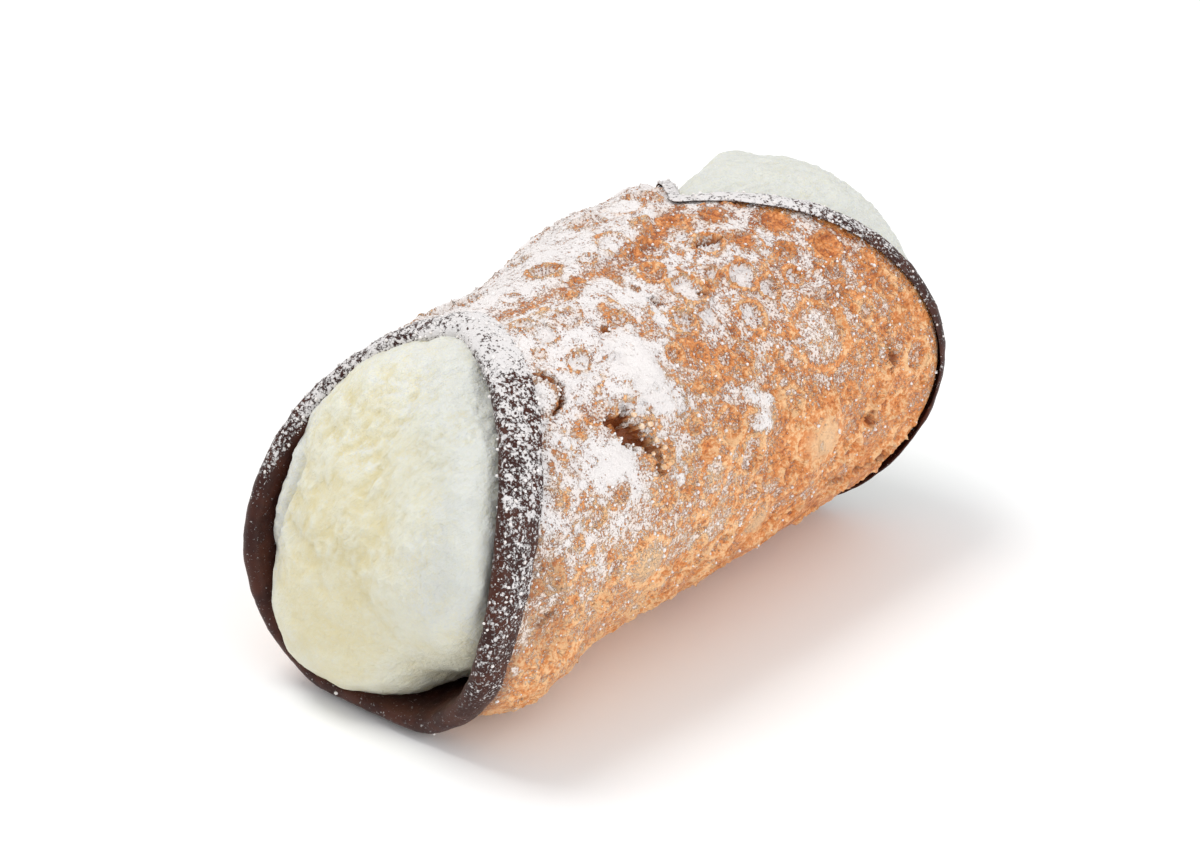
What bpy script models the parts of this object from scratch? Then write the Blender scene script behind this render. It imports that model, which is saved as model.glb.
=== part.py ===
"""A filled cannolo: a fried pastry tube, its two mouths edged with dark chocolate, and the cream inside.

The frame is in metres with +Z up. The roll lies on its side along Y, its front mouth towards -Y, on a
narrow flat strip of the shell at z = 0. The origin is on the table, under the middle of the whole piece.

Every surface is worked out in roll coordinates. "turn" is the angle round the roll from the seam, where
one edge of the dough laps over the other: it runs from 0, on top of the lap, to a full circle, at the
foot of it. "depth" is the distance in from the lip of a mouth. "angle" is the angle round the axis from
+X towards +Z, which is the turn plus the place of the seam. "share" runs from 0 at the front lip to 1 at
the back one.
"""

import math
import random

import bmesh
import bpy
from mathutils import Vector

FULL_TURN = 2 * math.pi

# The pastry shell. Its two mouths are pressed a little out of round.
FRONT_RADIUS = 0.0207
MIDDLE_RADIUS = 0.0219
BACK_RADIUS = 0.0219
FRONT_END_SHARE = 0.35  # from the front lip to here the round changes to that of the middle
BACK_END_SHARE = 0.55  # and from here to the back lip to that of the back mouth
WALL = 0.0016
FRONT_TALLNESS = 0.0008  # how much taller than wide the front mouth is, as a change of radius
BACK_SHIFT = 0.0008  # how far the back mouth is pushed out, and which way
BACK_SHIFT_ANGLE = math.radians(60)
MIDDLE_SHIFT = 0.0004
MIDDLE_SHIFT_ANGLE = math.radians(130)
UNEVENNESS = 0.0004
LIP_ROUNDING = 0.0005

# The lap, whose edge sinks back into the round of the tube. It is higher towards the back mouth.
LAP_STEP = 0.0018
LAP_FRONT_HEIGHT = 0.55  # the lap's height in the front part, as a share of its full step
LAP_RISE = (0.3, 0.6)  # the shares between which it grows to its full height
LAP_SPREAD = 1.15  # radians
LAP_START = 0.0010  # nearer to a lip than this, the two layers are pressed into one
LAP_FULL = 0.0060

# How the roll lies: its axis is lower than its radius, so a strip below it is pressed flat.
AXIS_HEIGHT = 0.0210
UNDERSIDE = -math.pi / 2
STRIP_SPREAD = 0.35  # radians of the round kept smooth on each side of the underside
RELIEF_SPREAD = 0.80  # from here on the crust has its full relief
UNDERSIDE_WALL = 0.0012
LIP_LIFT = 0.0014  # a lip curls up off the table, which leaves room for its chocolate
LIP_LIFT_LENGTH = 0.0075

# The chocolate on the lips.
GAP = 0.0003  # clearance between pieces that touch
COATING = 0.0008  # its outside above the shell, the gap included
COATING_TAIL = 0.0005  # the same where it thins out

# The seam runs along the top, a little bowed.
SEAM_FRONT = math.radians(97)
SEAM_BACK = math.radians(100)
SEAM_BOW = math.radians(-11)

# Mesh density.
COLUMNS = 60
SEAM_HALF_WIDTH = 0.012  # radians
EVEN_ROWS_START = 0.0075
EVEN_ROWS = 20
INNER_ROWS = 5
CREAM_COLUMNS = 40
CREAM_SHARES = (0.22, 0.44, 0.64, 0.80, 0.91, 0.975)
CREAM_ROWS = 4
CREAM_ROWS_START = 0.25  # the share where the rows of the cream's plain middle start
CREAM_STEP = 0.0020  # how far along the cream widens from the lining to the bare wall

# Broad rises and dips of the tube, and the blisters that the hot oil raises on its crust, each given as
# (angle in degrees, y, radius, height). The rises add up, and of the blisters the highest one shows.
RISES = (
    (130, -0.0090, 0.0170, -0.0016),
    (-52, -0.0330, 0.0130, 0.0032),
    (72, -0.0080, 0.0100, 0.0010),
    (200, 0.0150, 0.0160, 0.0012),
    (176, -0.0230, 0.0130, -0.0009),
)
CHOSEN_BLISTERS = (
    (32, 0.0178, 0.0052, 0.0007),
    (-1, 0.0156, 0.0048, 0.0008),
    (-8, -0.0167, 0.0050, 0.0008),
    (45, -0.0105, 0.0065, 0.0012),
    (66, -0.0150, 0.0048, 0.0008),
    (186, -0.0120, 0.0066, 0.0012),
    (160, 0.0100, 0.0056, 0.0010),
    (214, 0.0130, 0.0060, 0.0011),
)
SCATTERED_BLISTERS = 24
SCATTER_REACH = 0.030  # how far from the middle they lie along Y
SCATTERED_RADII = (0.0036, 0.0052)
SCATTERED_STEEPNESS = 0.14  # their height as a share of their radius
SCATTER_SEED = 12


class Mouth:
    """One open end of the shell. "way" is -1 at the front and 1 at the back."""

    def __init__(self, way, seam, reach, notch, notch_power, lean, lean_angle, pinch, pinch_angle):
        self.way = way
        self.seam = seam
        self.reach = reach  # from the middle of the roll to the lip
        self.notch = notch  # how much shorter the shell is at the seam than opposite it
        self.notch_power = notch_power  # how sharply the lip runs in to the notch
        self.lean = lean  # how far the lip reaches out on one side of the roll
        self.lean_angle = lean_angle
        self.pinch = pinch  # how far it reaches out on two opposite sides
        self.pinch_angle = pinch_angle

    def lip(self, turn):
        """Where the lip is along Y. The dough is cut oval, so its rolled ends are notched at the seam."""
        angle = turn + self.seam
        away = abs(turn - math.pi) / math.pi
        out = self.reach - self.notch * away**self.notch_power
        out += self.lean * math.cos(angle - self.lean_angle)
        out += self.pinch * math.cos(2 * (angle - self.pinch_angle))
        return self.way * out


FRONT = Mouth(-1, SEAM_FRONT, 0.0448, 0.0200, 1.35, 0.0, 0.0, 0.0033, math.radians(7))
BACK = Mouth(1, SEAM_BACK, 0.0385, 0.0215, 3.3, 0.0045, math.radians(103), 0.0024, math.radians(12))


def smooth_step(value, start, end):
    share = min(1.0, max(0.0, (value - start) / (end - start)))
    return share * share * (3 - 2 * share)


def angle_between(a, b):
    return abs((a - b + math.pi) % FULL_TURN - math.pi)


def facing(angle, towards):
    """1 on the side of the roll that faces that angle, and 0 on the opposite side."""
    return 0.5 + 0.5 * math.cos(angle - towards)


def all_blisters():
    """The chosen blisters and the scattered ones, which are clear of the lips and the underside."""
    rng = random.Random(SCATTER_SEED)
    found = [(math.radians(angle), *rest) for angle, *rest in CHOSEN_BLISTERS]
    while len(found) < len(CHOSEN_BLISTERS) + SCATTERED_BLISTERS:
        angle = rng.uniform(0, FULL_TURN)
        y = rng.uniform(-SCATTER_REACH, SCATTER_REACH)
        radius = rng.uniform(*SCATTERED_RADII)
        if angle_between(angle, UNDERSIDE) > RELIEF_SPREAD:
            found.append((angle, y, radius, SCATTERED_STEEPNESS * radius))
    return found


BLISTERS = all_blisters()


def swelling(angle, y, centre_angle, centre_y, radius, height):
    """The height at a place of one rounded swelling of the crust."""
    around = MIDDLE_RADIUS * angle_between(angle, centre_angle)
    near = math.hypot(around, y - centre_y) / radius
    return height * (1 - near * near) ** 1.5 if near < 1 else 0.0


def blister_height(angle, y):
    return max(swelling(angle, y, *blister) for blister in BLISTERS)


def rise_height(angle, y):
    return sum(swelling(angle, y, math.radians(centre), *rest) for centre, *rest in RISES)


def unevenness(angle, y):
    """The slow waves of a hand-rolled tube, between about -1 and 1."""
    wave = math.sin(2 * angle + 70 * y + 0.4) * math.cos(60 * y + 1.1)
    ripple = math.sin(5 * angle - 130 * y) * math.cos(150 * y + angle)
    return 0.6 * wave + 0.4 * ripple


class Place:
    """A place on the roll, from its turn and its share of the way along."""

    def __init__(self, turn, share):
        front, back = FRONT.lip(turn), BACK.lip(turn)
        bow = math.sin(math.pi * min(1.0, max(0.0, share)))
        self.turn = turn
        self.share = share
        self.y = front + (back - front) * share
        self.angle = turn + SEAM_FRONT + (SEAM_BACK - SEAM_FRONT) * share + SEAM_BOW * bow
        self.depth = min(self.y - front, back - self.y)

    def tube_radius(self):
        """The tube before its lap, rises and blisters, which only its outside has."""
        front = FRONT_RADIUS - FRONT_TALLNESS * math.cos(2 * self.angle)
        middle = MIDDLE_RADIUS + MIDDLE_SHIFT * math.cos(self.angle - MIDDLE_SHIFT_ANGLE)
        back = BACK_RADIUS + BACK_SHIFT * math.cos(self.angle - BACK_SHIFT_ANGLE)
        to_middle = smooth_step(self.share, 0.0, FRONT_END_SHARE)
        to_back = smooth_step(self.share, BACK_END_SHARE, 1.0)
        radius = front + (middle - front) * to_middle
        return radius + (back - radius) * to_back

    def outer_radius(self):
        inside = smooth_step(self.depth, LAP_START, LAP_FULL)
        height = LAP_FRONT_HEIGHT + (1 - LAP_FRONT_HEIGHT) * smooth_step(self.share, *LAP_RISE)
        lap = LAP_STEP * height * math.exp(-((self.turn / LAP_SPREAD) ** 2)) * inside
        relief = UNEVENNESS * unevenness(self.angle, self.y)
        relief += (blister_height(self.angle, self.y) + rise_height(self.angle, self.y)) * inside
        clear = smooth_step(angle_between(self.angle, UNDERSIDE), STRIP_SPREAD, RELIEF_SPREAD)
        return self.tube_radius() + lap + relief * clear

    def inner_radius(self):
        return self.tube_radius() - WALL

    def floor(self):
        """The lowest that the shell's outside reaches here."""
        return LIP_LIFT * (1 - smooth_step(self.depth, LIP_ROUNDING, LIP_LIFT_LENGTH))

    def point(self, radius, lowest):
        x = radius * math.cos(self.angle)
        z = AXIS_HEIGHT + radius * math.sin(self.angle)
        return Vector((x, self.y, max(z, lowest)))

    def outside(self, layer=0.0):
        """A point on the outside of the shell, or on a layer of that thickness over it."""
        return self.point(self.outer_radius() + layer, self.floor() - layer)

    def inside(self, layer=0.0):
        """A point on the inner wall of the shell, or on a layer of that thickness over it."""
        return self.point(self.inner_radius() - layer, self.floor() + UNDERSIDE_WALL + layer)


def place_at(mouth, turn, depth):
    """The place at a depth in from a mouth's lip. Outside the lip the depth is negative."""
    share = depth / (BACK.lip(turn) - FRONT.lip(turn))
    return Place(turn, share if mouth is FRONT else 1 - share)


def turns(count):
    """The turns of the columns, of which the first and the last are close to the seam, one on each side."""
    spread = FULL_TURN - 2 * SEAM_HALF_WIDTH
    return [SEAM_HALF_WIDTH + spread * i / (count - 1) for i in range(count)]


def band_width(mouth, turn):
    """How far the chocolate reaches over the crust: widest on the upper near side of the front mouth and
    on top of the back one, and a thread elsewhere."""
    angle = place_at(mouth, turn, 0).angle
    if mouth is BACK:
        return 0.0008 + 0.0020 * facing(angle, math.radians(85)) ** 4
    return 0.0012 + 0.0036 * facing(angle, math.radians(40)) ** 2


def lining_depth(mouth, turn):
    """How far the chocolate reaches in over the inner wall: deepest at the bottom of the front mouth."""
    shallowest = 0.0045
    deepest = 0.0150 if mouth is FRONT else 0.0065
    lower = facing(place_at(mouth, turn, 0).angle, math.radians(-70)) ** 2
    return shallowest + (deepest - shallowest) * lower


def cream_inset(mouth, turn):
    """How deep in from the lip the cream leaves the wall. In the front mouth it leaves a pocket on the
    lower near side, and it stays clear of the far side."""
    angle = place_at(mouth, turn, 0).angle
    if mouth is BACK:
        return 0.0010 + 0.0016 * facing(angle, UNDERSIDE) ** 3
    pocket = 0.0080 * facing(angle, math.radians(-52)) ** 6
    return 0.0012 + pocket + 0.0070 * facing(angle, math.radians(178)) ** 5


def skin(name, rings, material, closed_tube=False, poles=()):
    """An object whose faces join each ring of points to the next. Its end rings are joined to each
    other, or each to a pole."""
    mesh = bmesh.new()
    rows = [[mesh.verts.new(point) for point in ring] for ring in rings]
    count = len(rows[0])
    pairs = list(zip(rows, rows[1:]))
    if closed_tube:
        pairs.append((rows[-1], rows[0]))
    for row, after in pairs:
        for i in range(count):
            j = (i + 1) % count
            mesh.faces.new((row[i], row[j], after[j]))
            mesh.faces.new((row[i], after[j], after[i]))
    for pole, row in zip(poles, (rows[0], rows[-1])):
        tip = mesh.verts.new(pole)
        for i in range(count):
            mesh.faces.new((tip, row[i], row[(i + 1) % count]))
    bmesh.ops.recalc_face_normals(mesh, faces=mesh.faces)
    data = bpy.data.meshes.new(name)
    mesh.to_mesh(data)
    mesh.free()
    data.materials.append(material)
    data.shade_smooth()
    data.set_sharp_from_angle(angle=math.radians(50))
    piece = bpy.data.objects.new(name, data)
    bpy.context.scene.collection.objects.link(piece)
    return piece


def food_material(name, colour, roughness):
    material = bpy.data.materials.new(name)
    material.use_nodes = True
    surface = material.node_tree.nodes["Principled BSDF"]
    surface.inputs["Base Color"].default_value = (*colour, 1)
    surface.inputs["Roughness"].default_value = roughness
    surface.inputs["Metallic"].default_value = 0
    return material


def crust_half(mouth, turn):
    """The shell's outside from the lip in to where the even rows start, round the rounded edge."""
    return [
        place_at(mouth, turn, 0).outside(-LIP_ROUNDING),
        place_at(mouth, turn, LIP_ROUNDING).outside(),
        place_at(mouth, turn, band_width(mouth, turn)).outside(),
        place_at(mouth, turn, EVEN_ROWS_START).outside(),
    ]


def wall_half(mouth, turn):
    """The shell's inner wall from the lip in to where the chocolate's lining ends."""
    lining = lining_depth(mouth, turn)
    return [
        place_at(mouth, turn, 0).inside(-LIP_ROUNDING),
        place_at(mouth, turn, LIP_ROUNDING).inside(),
        place_at(mouth, turn, lining / 2).inside(),
        place_at(mouth, turn, lining).inside(),
    ]


def shell():
    """The fried tube: over its crust from the front lip to the back one, and back along its wall."""
    columns = []
    for turn in turns(COLUMNS):
        margin = EVEN_ROWS_START / (BACK.lip(turn) - FRONT.lip(turn))
        steps = [row / EVEN_ROWS for row in range(1, EVEN_ROWS)]
        column = crust_half(FRONT, turn)
        column += [Place(turn, margin + (1 - 2 * margin) * step).outside() for step in steps]
        column += reversed(crust_half(BACK, turn))
        column += wall_half(BACK, turn)
        column += [Place(turn, 1 - row / INNER_ROWS).inside() for row in range(1, INNER_ROWS)]
        column += reversed(wall_half(FRONT, turn))
        columns.append(column)
    material = food_material("fried_pastry", (0.55, 0.27, 0.09), 0.6)
    return skin("shell", zip(*columns), material, closed_tube=True)


def chocolate_edge(name, mouth, material):
    """The chocolate that a lip was dipped in: a thin channel that folds over the lip."""
    columns = []
    for turn in turns(COLUMNS):
        edge = place_at(mouth, turn, LIP_ROUNDING)
        touching = place_at(mouth, turn, -GAP)
        band = place_at(mouth, turn, band_width(mouth, turn))
        lining = place_at(mouth, turn, lining_depth(mouth, turn))
        half_lining = place_at(mouth, turn, lining_depth(mouth, turn) / 2)
        shoulder = place_at(mouth, turn, -COATING * 0.75)
        front = place_at(mouth, turn, -COATING * 1.25)
        column = [
            band.outside(GAP),
            edge.outside(GAP),
            touching.outside(-LIP_ROUNDING),
            touching.inside(-LIP_ROUNDING),
            edge.inside(GAP),
            half_lining.inside(GAP),
            lining.inside(GAP),
            lining.inside(COATING_TAIL),
            half_lining.inside(COATING),
            shoulder.inside(COATING / 2),
            front.outside().lerp(front.inside(), 0.5),
            shoulder.outside(COATING / 2),
            edge.outside(COATING).lerp(band.outside(COATING), 0.5),
            band.outside(COATING_TAIL),
        ]
        if mouth is FRONT:
            column.reverse()  # the rows run the way of the shell's, so their faces are split alike
        columns.append(column)
    return skin(name, zip(*columns), material, closed_tube=True)


def cream_end(mouth, bulge, lift, lean, sag, overhang):
    """The rings of the cream's rounded end, from near its pole out to where it meets the wall, and the
    pole. It swells out of the mouth, turned up by the lift and then towards the far side by the lean,
    with its middle lower by the sag. Near the wall it is wider by the overhang, a share of its width,
    so it hangs over the lip a little."""
    rim = []
    for turn in turns(CREAM_COLUMNS):
        rim.append(place_at(mouth, turn, cream_inset(mouth, turn)).inside(COATING + GAP))
    centre = sum(rim, Vector()) / len(rim) - Vector((0, 0, sag))
    out = mouth.way * bulge * math.cos(lift)
    up = bulge * math.sin(lift)
    aside = up * math.tan(lean)

    def at(point, share):
        """A point that share of the way from the centre to the rim, swollen outwards."""
        spoke = point - centre
        width = share + overhang * 15 * share**6 * (1 - share)
        dome = 1 - share**2.5
        along = spoke.y * share**1.6 + out * dome**0.5
        return centre + Vector((spoke.x * width - aside * dome, along, spoke.z * width + up * dome))

    rings = [[at(point, share) for point in rim] for share in CREAM_SHARES]
    return [*rings, rim], at(centre, 0)


def cream():
    """The filling, one piece that runs through the shell and swells out of both mouths."""
    front_rings, front_pole = cream_end(
        FRONT, bulge=0.0115, lift=math.radians(4), lean=0.0, sag=0.0035, overhang=0.06
    )
    back_rings, back_pole = cream_end(
        BACK, bulge=0.0165, lift=math.radians(52), lean=math.radians(24), sag=0.0, overhang=0.03
    )

    def waist(mouth):
        """The rings where the cream widens from the lining of a mouth to the bare wall."""
        rows = []
        for extra, layer in ((GAP, COATING + GAP), (CREAM_STEP, GAP)):
            row = []
            for turn in turns(CREAM_COLUMNS):
                row.append(place_at(mouth, turn, lining_depth(mouth, turn) + extra).inside(layer))
            rows.append(row)
        return rows

    rings = [*front_rings, *waist(FRONT)]
    for row in range(1, CREAM_ROWS):
        share = CREAM_ROWS_START + (1 - 2 * CREAM_ROWS_START) * row / CREAM_ROWS
        rings.append([Place(turn, share).inside(GAP) for turn in turns(CREAM_COLUMNS)])
    rings += [*reversed(waist(BACK)), *reversed(back_rings)]
    material = food_material("ricotta_cream", (0.86, 0.83, 0.60), 0.4)
    return skin("cream", rings, material, poles=(front_pole, back_pole))


def stand_on_origin(pieces):
    """Holds all the pieces by one empty, and moves it so that the origin is under the middle of them."""
    corners = [vertex.co for piece in pieces for vertex in piece.data.vertices]
    low = Vector([min(corner[axis] for corner in corners) for axis in range(3)])
    high = Vector([max(corner[axis] for corner in corners) for axis in range(3)])
    holder = bpy.data.objects.new("cannolo", None)
    bpy.context.scene.collection.objects.link(holder)
    for piece in pieces:
        piece.parent = holder
    holder.location = (-(low.x + high.x) / 2, -(low.y + high.y) / 2, -low.z)


for leftover in list(bpy.data.objects):
    bpy.data.objects.remove(leftover)

chocolate = food_material("dark_chocolate", (0.035, 0.018, 0.012), 0.35)
stand_on_origin(
    [
        shell(),
        cream(),
        chocolate_edge("chocolate_front", FRONT, chocolate),
        chocolate_edge("chocolate_back", BACK, chocolate),
    ]
)
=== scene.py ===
"""The looks of a filled cannolo: its blistered crust, cream, chocolate edges and icing sugar."""

import math

import bpy
import numpy as np
from mathutils import Matrix, Vector, bvhtree, kdtree, noise


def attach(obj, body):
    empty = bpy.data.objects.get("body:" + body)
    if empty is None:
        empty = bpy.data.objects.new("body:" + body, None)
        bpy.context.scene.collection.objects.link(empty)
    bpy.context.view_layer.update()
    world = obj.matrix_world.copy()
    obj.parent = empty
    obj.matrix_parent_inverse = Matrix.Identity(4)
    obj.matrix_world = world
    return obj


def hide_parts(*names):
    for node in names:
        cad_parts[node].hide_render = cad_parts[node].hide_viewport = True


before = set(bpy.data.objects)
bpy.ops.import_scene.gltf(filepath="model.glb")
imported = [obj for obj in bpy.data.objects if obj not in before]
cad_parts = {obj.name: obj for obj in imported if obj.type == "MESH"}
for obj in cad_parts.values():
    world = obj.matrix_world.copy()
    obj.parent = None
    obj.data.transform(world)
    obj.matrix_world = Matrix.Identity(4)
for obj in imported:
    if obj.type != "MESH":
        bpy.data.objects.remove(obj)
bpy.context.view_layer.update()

# ---------------------------------------------------------------------------------------------
# The crust: a disc of fried dough, rolled round a tube so that one edge laps over the other. The
# hot oil raised it in blisters, many of which burst and left craters with a raised rim.
# ---------------------------------------------------------------------------------------------
MM = 0.001
AXIS_X, AXIS_HEIGHT, MIDDLE_Y = 0.16 * MM, 21.0 * MM, 0.53 * MM  # the middle of the roll
ROLL_RADIUS = 22.0 * MM
MM_PER_DEGREE = 0.384  # one degree round the roll, on its surface
ROUNDING = {"levels": 2, "render_levels": 2}  # how a solid's flat faces are made smooth


def clean_copy(node, name):
    """A copy of a solid, with its loose triangles joined up into quads."""
    piece = bpy.data.objects.new(name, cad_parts[node].data.copy())
    bpy.context.scene.collection.objects.link(piece)
    bpy.ops.object.select_all(action="DESELECT")
    piece.select_set(True)
    bpy.context.view_layer.objects.active = piece
    bpy.ops.object.mode_set(mode="EDIT")
    bpy.ops.mesh.select_all(action="SELECT")
    bpy.ops.mesh.remove_doubles(threshold=0.02 * MM)
    bpy.ops.mesh.tris_convert_to_quads(
        face_threshold=math.radians(60), shape_threshold=math.radians(80)
    )
    bpy.ops.object.mode_set(mode="OBJECT")
    bpy.ops.mesh.customdata_custom_splitnormals_clear()
    return piece


def finish_with(piece, kind, **settings):
    """Adds one modifier to a piece and applies it."""
    bpy.context.view_layer.objects.active = piece
    modifier = piece.modifiers.new(kind.lower(), kind)
    for key, value in settings.items():
        setattr(modifier, key, value)
    bpy.ops.object.modifier_apply(modifier=modifier.name)


def even_skin(piece, grid, smoothing=2):
    """Gives a piece an even mesh of small quads, each about one step of the grid across."""
    finish_with(piece, "SUBSURF", **ROUNDING)
    finish_with(piece, "REMESH", mode="VOXEL", voxel_size=grid, adaptivity=0.0)
    finish_with(piece, "SMOOTH", factor=0.5, iterations=smoothing)


def thin_out(piece, weights, triangles):
    """Brings a mesh to that many triangles, by making it coarse where the weights are 1."""
    ratio = triangles / (2 * len(piece.data.polygons))
    group = piece.vertex_groups.new(name="hidden")
    for index in np.nonzero(weights > 0)[0]:
        group.add([int(index)], float(weights[index]), "REPLACE")
    settings = {"vertex_group": "hidden", "vertex_group_factor": 1000.0}
    finish_with(piece, "DECIMATE", ratio=ratio, **settings)
    piece.vertex_groups.clear()


def points_of(piece):
    flat = np.empty(len(piece.data.vertices) * 3, np.float32)
    piece.data.vertices.foreach_get("co", flat)
    return flat.reshape(-1, 3).astype(float)


def normals_of(piece):
    flat = np.empty(len(piece.data.vertices) * 3, np.float32)
    piece.data.vertex_normals.foreach_get("vector", flat)
    return flat.reshape(-1, 3).astype(float)


def move_points(piece, points):
    piece.data.vertices.foreach_set("co", points.astype(np.float32).ravel())
    piece.data.update()


def keep_value(piece, name, values):
    """Stores one number for each point, for the material to read."""
    attribute = piece.data.attributes.new(name, "FLOAT", "POINT")
    attribute.data.foreach_set("value", values.astype(np.float32))


def waves(points, size, octaves=3, stretch=(1, 1, 1), offset=0.0):
    """Smooth random waves of about that size, from about -1 to 1, one value for each point."""
    scaled = points / (size * np.array(stretch)) + offset
    return np.array([noise.fractal(Vector(p), 1.0, 2.0, octaves) for p in scaled.tolist()])


def ramp(values, start, end):
    """From 0 at the start to 1 at the end, with a soft beginning and end."""
    share = np.clip((values - start) / (end - start), 0, 1)
    return share * share * (3 - 2 * share)


def angle_round(points):
    """The angle round the roll in degrees, from the near side (0) over the top (90)."""
    return np.degrees(np.arctan2(points[:, 2] - AXIS_HEIGHT, points[:, 0] - AXIS_X))


def facing_out(points, directions):
    """How far the surface faces away from the roll's axis: 1 straight outwards, -1 inwards."""
    x, z = points[:, 0] - AXIS_X, points[:, 2] - AXIS_HEIGHT
    return (x * directions[:, 0] + z * directions[:, 2]) / np.hypot(x, z)


def on_roll(angle, y, radius):
    """The place at an angle in degrees and a distance along the roll in millimetres."""
    turn = math.radians(angle)
    x, z = radius * math.cos(turn), radius * math.sin(turn)
    return Vector((AXIS_X + x, MIDDLE_Y + y * MM, AXIS_HEIGHT + z))


def tree_of(points):
    """Finds the points that are near a place."""
    tree = kdtree.KDTree(len(points))
    for index, point in enumerate(points.tolist()):
        tree.insert(point, index)
    tree.balance()
    return tree


def surface_of(mesh):
    """Finds how far a place is from a surface."""
    corners = [tuple(face.vertices) for face in mesh.polygons]
    return bvhtree.BVHTree.FromPolygons([point.co for point in mesh.vertices], corners)


def on_crust(tree, angle, y):
    """The place on the crust itself at that angle and distance along the roll."""
    return tree.find(on_roll(angle, y, ROLL_RADIUS + 3 * MM))[0]


def dab(tree, centre, reach, wobble):
    """The points within reach of a place, and their distances from it as shares of the reach."""
    found = tree.find_range(centre, reach * 1.5)
    indices = np.array([index for _, index, _ in found], int)
    shares = np.array([distance for _, _, distance in found]) / reach
    return indices, shares * (1 + wobble[indices]) if len(indices) else shares


def along_line(points, start, end):
    """Each point's distance from a straight line, and how far along the line it is as a share."""
    a, b = np.array(start), np.array(end)
    share = np.clip((points - a) @ (b - a) / ((b - a) @ (b - a)), 0, 1)
    return np.linalg.norm(points - a - share[:, None] * (b - a), axis=1), share


def distance_from(points, place):
    return np.linalg.norm(points - np.array(place), axis=1)


CRUST_GRID, CRUST_TRIANGLES = 0.41 * MM, 198_000
LIP = 38 * MM  # how far the crust's lips are from the middle of the roll

crust = clean_copy("shell", "crust")
even_skin(crust, CRUST_GRID)
at = points_of(crust)
inner = ramp(-facing_out(at, normals_of(crust)), 0.2, 0.6)
inner *= ramp(LIP - np.abs(at[:, 1] - MIDDLE_Y), 12 * MM, 16 * MM)
thin_out(crust, inner, CRUST_TRIANGLES)

at = points_of(crust)
outwards = normals_of(crust)
outside = ramp(facing_out(at, outwards), 0.0, 0.5)
angles = angle_round(at)
along = (at[:, 1] - MIDDLE_Y) / MM
underneath = ramp(-angles, 55, 70) * ramp(angles + 125, 0, 15)  # it rests there, all but flat

tree = tree_of(at)
wobble = 0.26 * waves(at, 1.8 * MM, 3, offset=7.0)  # keeps round shapes from being true circles
ragged = 0.75 * waves(at, 3.5 * MM, 4, offset=9.0)
height = 0.34 * MM * waves(at, 6.0 * MM, 3)
height += 0.09 * MM * waves(at, 1.5 * MM, 3, offset=3.0)
toast = 0.6 * waves(at, 7.0 * MM, 3, offset=11.0)  # how brown it is, pale below 0 and dark above
sugar_hold = np.zeros(len(at))  # how much more sugar than round it, or less
rims = np.zeros(len(at))  # the thin high edges, which are pale and bare
plain = np.zeros(len(at))  # the smooth skin of a whole blister

# Thin wrinkles, where the skin of the dough folded as it swelled. Each kind has its size, its half
# width as a share of the size, its height in millimetres, and a start for its random places.
WRINKLES = ((7.0 * MM, 0.055, 0.22, 61.0), (4.0 * MM, 0.07, 0.16, 83.0))
for size, half_width, rise, offset in WRINKLES:
    wrinkle = np.exp(-((waves(at, size, 3, offset=offset) / half_width) ** 2))
    wrinkle *= ramp(waves(at, 6 * MM, 2, offset=offset + 7), -0.05, 0.25)
    height += MM * rise * wrinkle
    rims = np.maximum(rims, 0.6 * wrinkle)

# Burst blisters: a raised rim round a sunk middle. Each is (angle, along, radius, height of the
# rim, depth, sugar in it). Others of random sizes fill the room between the chosen ones.
CHOSEN_CRATERS = (
    (63.9, 4.6, 2.1, 0.50, 0.50, 0.30), (59.5, 12.8, 1.9, 0.45, 0.45, 0.45),
    (59.5, 20.7, 1.1, 0.35, 0.5, -0.3), (47.1, 10.3, 1.9, 0.40, 0.40, 0.35),
    (83.7, 17.8, 1.7, 0.20, 0.40, -1.0), (70.6, 23.3, 2.2, 0.20, 0.40, -0.9),
    (69.8, 17.1, 1.6, 0.20, 0.40, -1.0), (74.3, 12.5, 1.8, 0.40, 0.50, 0.2),
    (54.6, 26.3, 1.9, 0.30, 0.45, -0.8), (72.8, -1.2, 0.6, 0.25, 0.30, -0.6),
    (64.6, -10.7, 0.50, 0.10, 1.2, -1.5), (-3.2, 24.8, 1.3, 0.45, 0.9, -0.9),
    (14.0, 27.3, 1.6, 0.40, 0.45, 0.5), (21.5, 8.1, 0.8, 0.30, 0.50, -0.6),
    (31.6, 26.0, 1.2, 0.30, 0.35, 0.2), (51.6, 19.0, 1.3, 0.30, 0.35, 0.4),
    (65.0, 9.2, 0.9, 0.25, 0.40, 0.3), (-20.0, -13.0, 1.6, 0.40, 0.5, -0.6),
    (-27.0, -7.5, 1.2, 0.3, 0.4, -0.6), (-14.0, -24.0, 1.0, 0.3, 0.6, -0.9),
    (92.0, 9.0, 1.4, 0.3, 0.4, -0.6), (36.0, -1.0, 1.5, 0.30, 0.40, -0.5),
    (27.0, -6.0, 1.2, 0.30, 0.40, -0.3), (8.0, -9.5, 1.0, 0.25, 0.4, -0.5),
    (10.0, 20.5, 1.1, 0.25, 0.40, -0.4), (45.0, 31.0, 1.2, 0.30, 0.40, -0.4),
    (24.0, 31.5, 1.0, 0.30, 0.40, -0.4),
)
CRATER_TRIES = 900
CRATER_ANGLES, CRATER_PLACES = (-60, 235), (-36, 36)
LARGE_RADIUS, SMALL_RADIUS = 2.3, 1.5
CLOSENESS = 0.95  # of the sum of the two radii, between the middles of two neighbours

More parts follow.
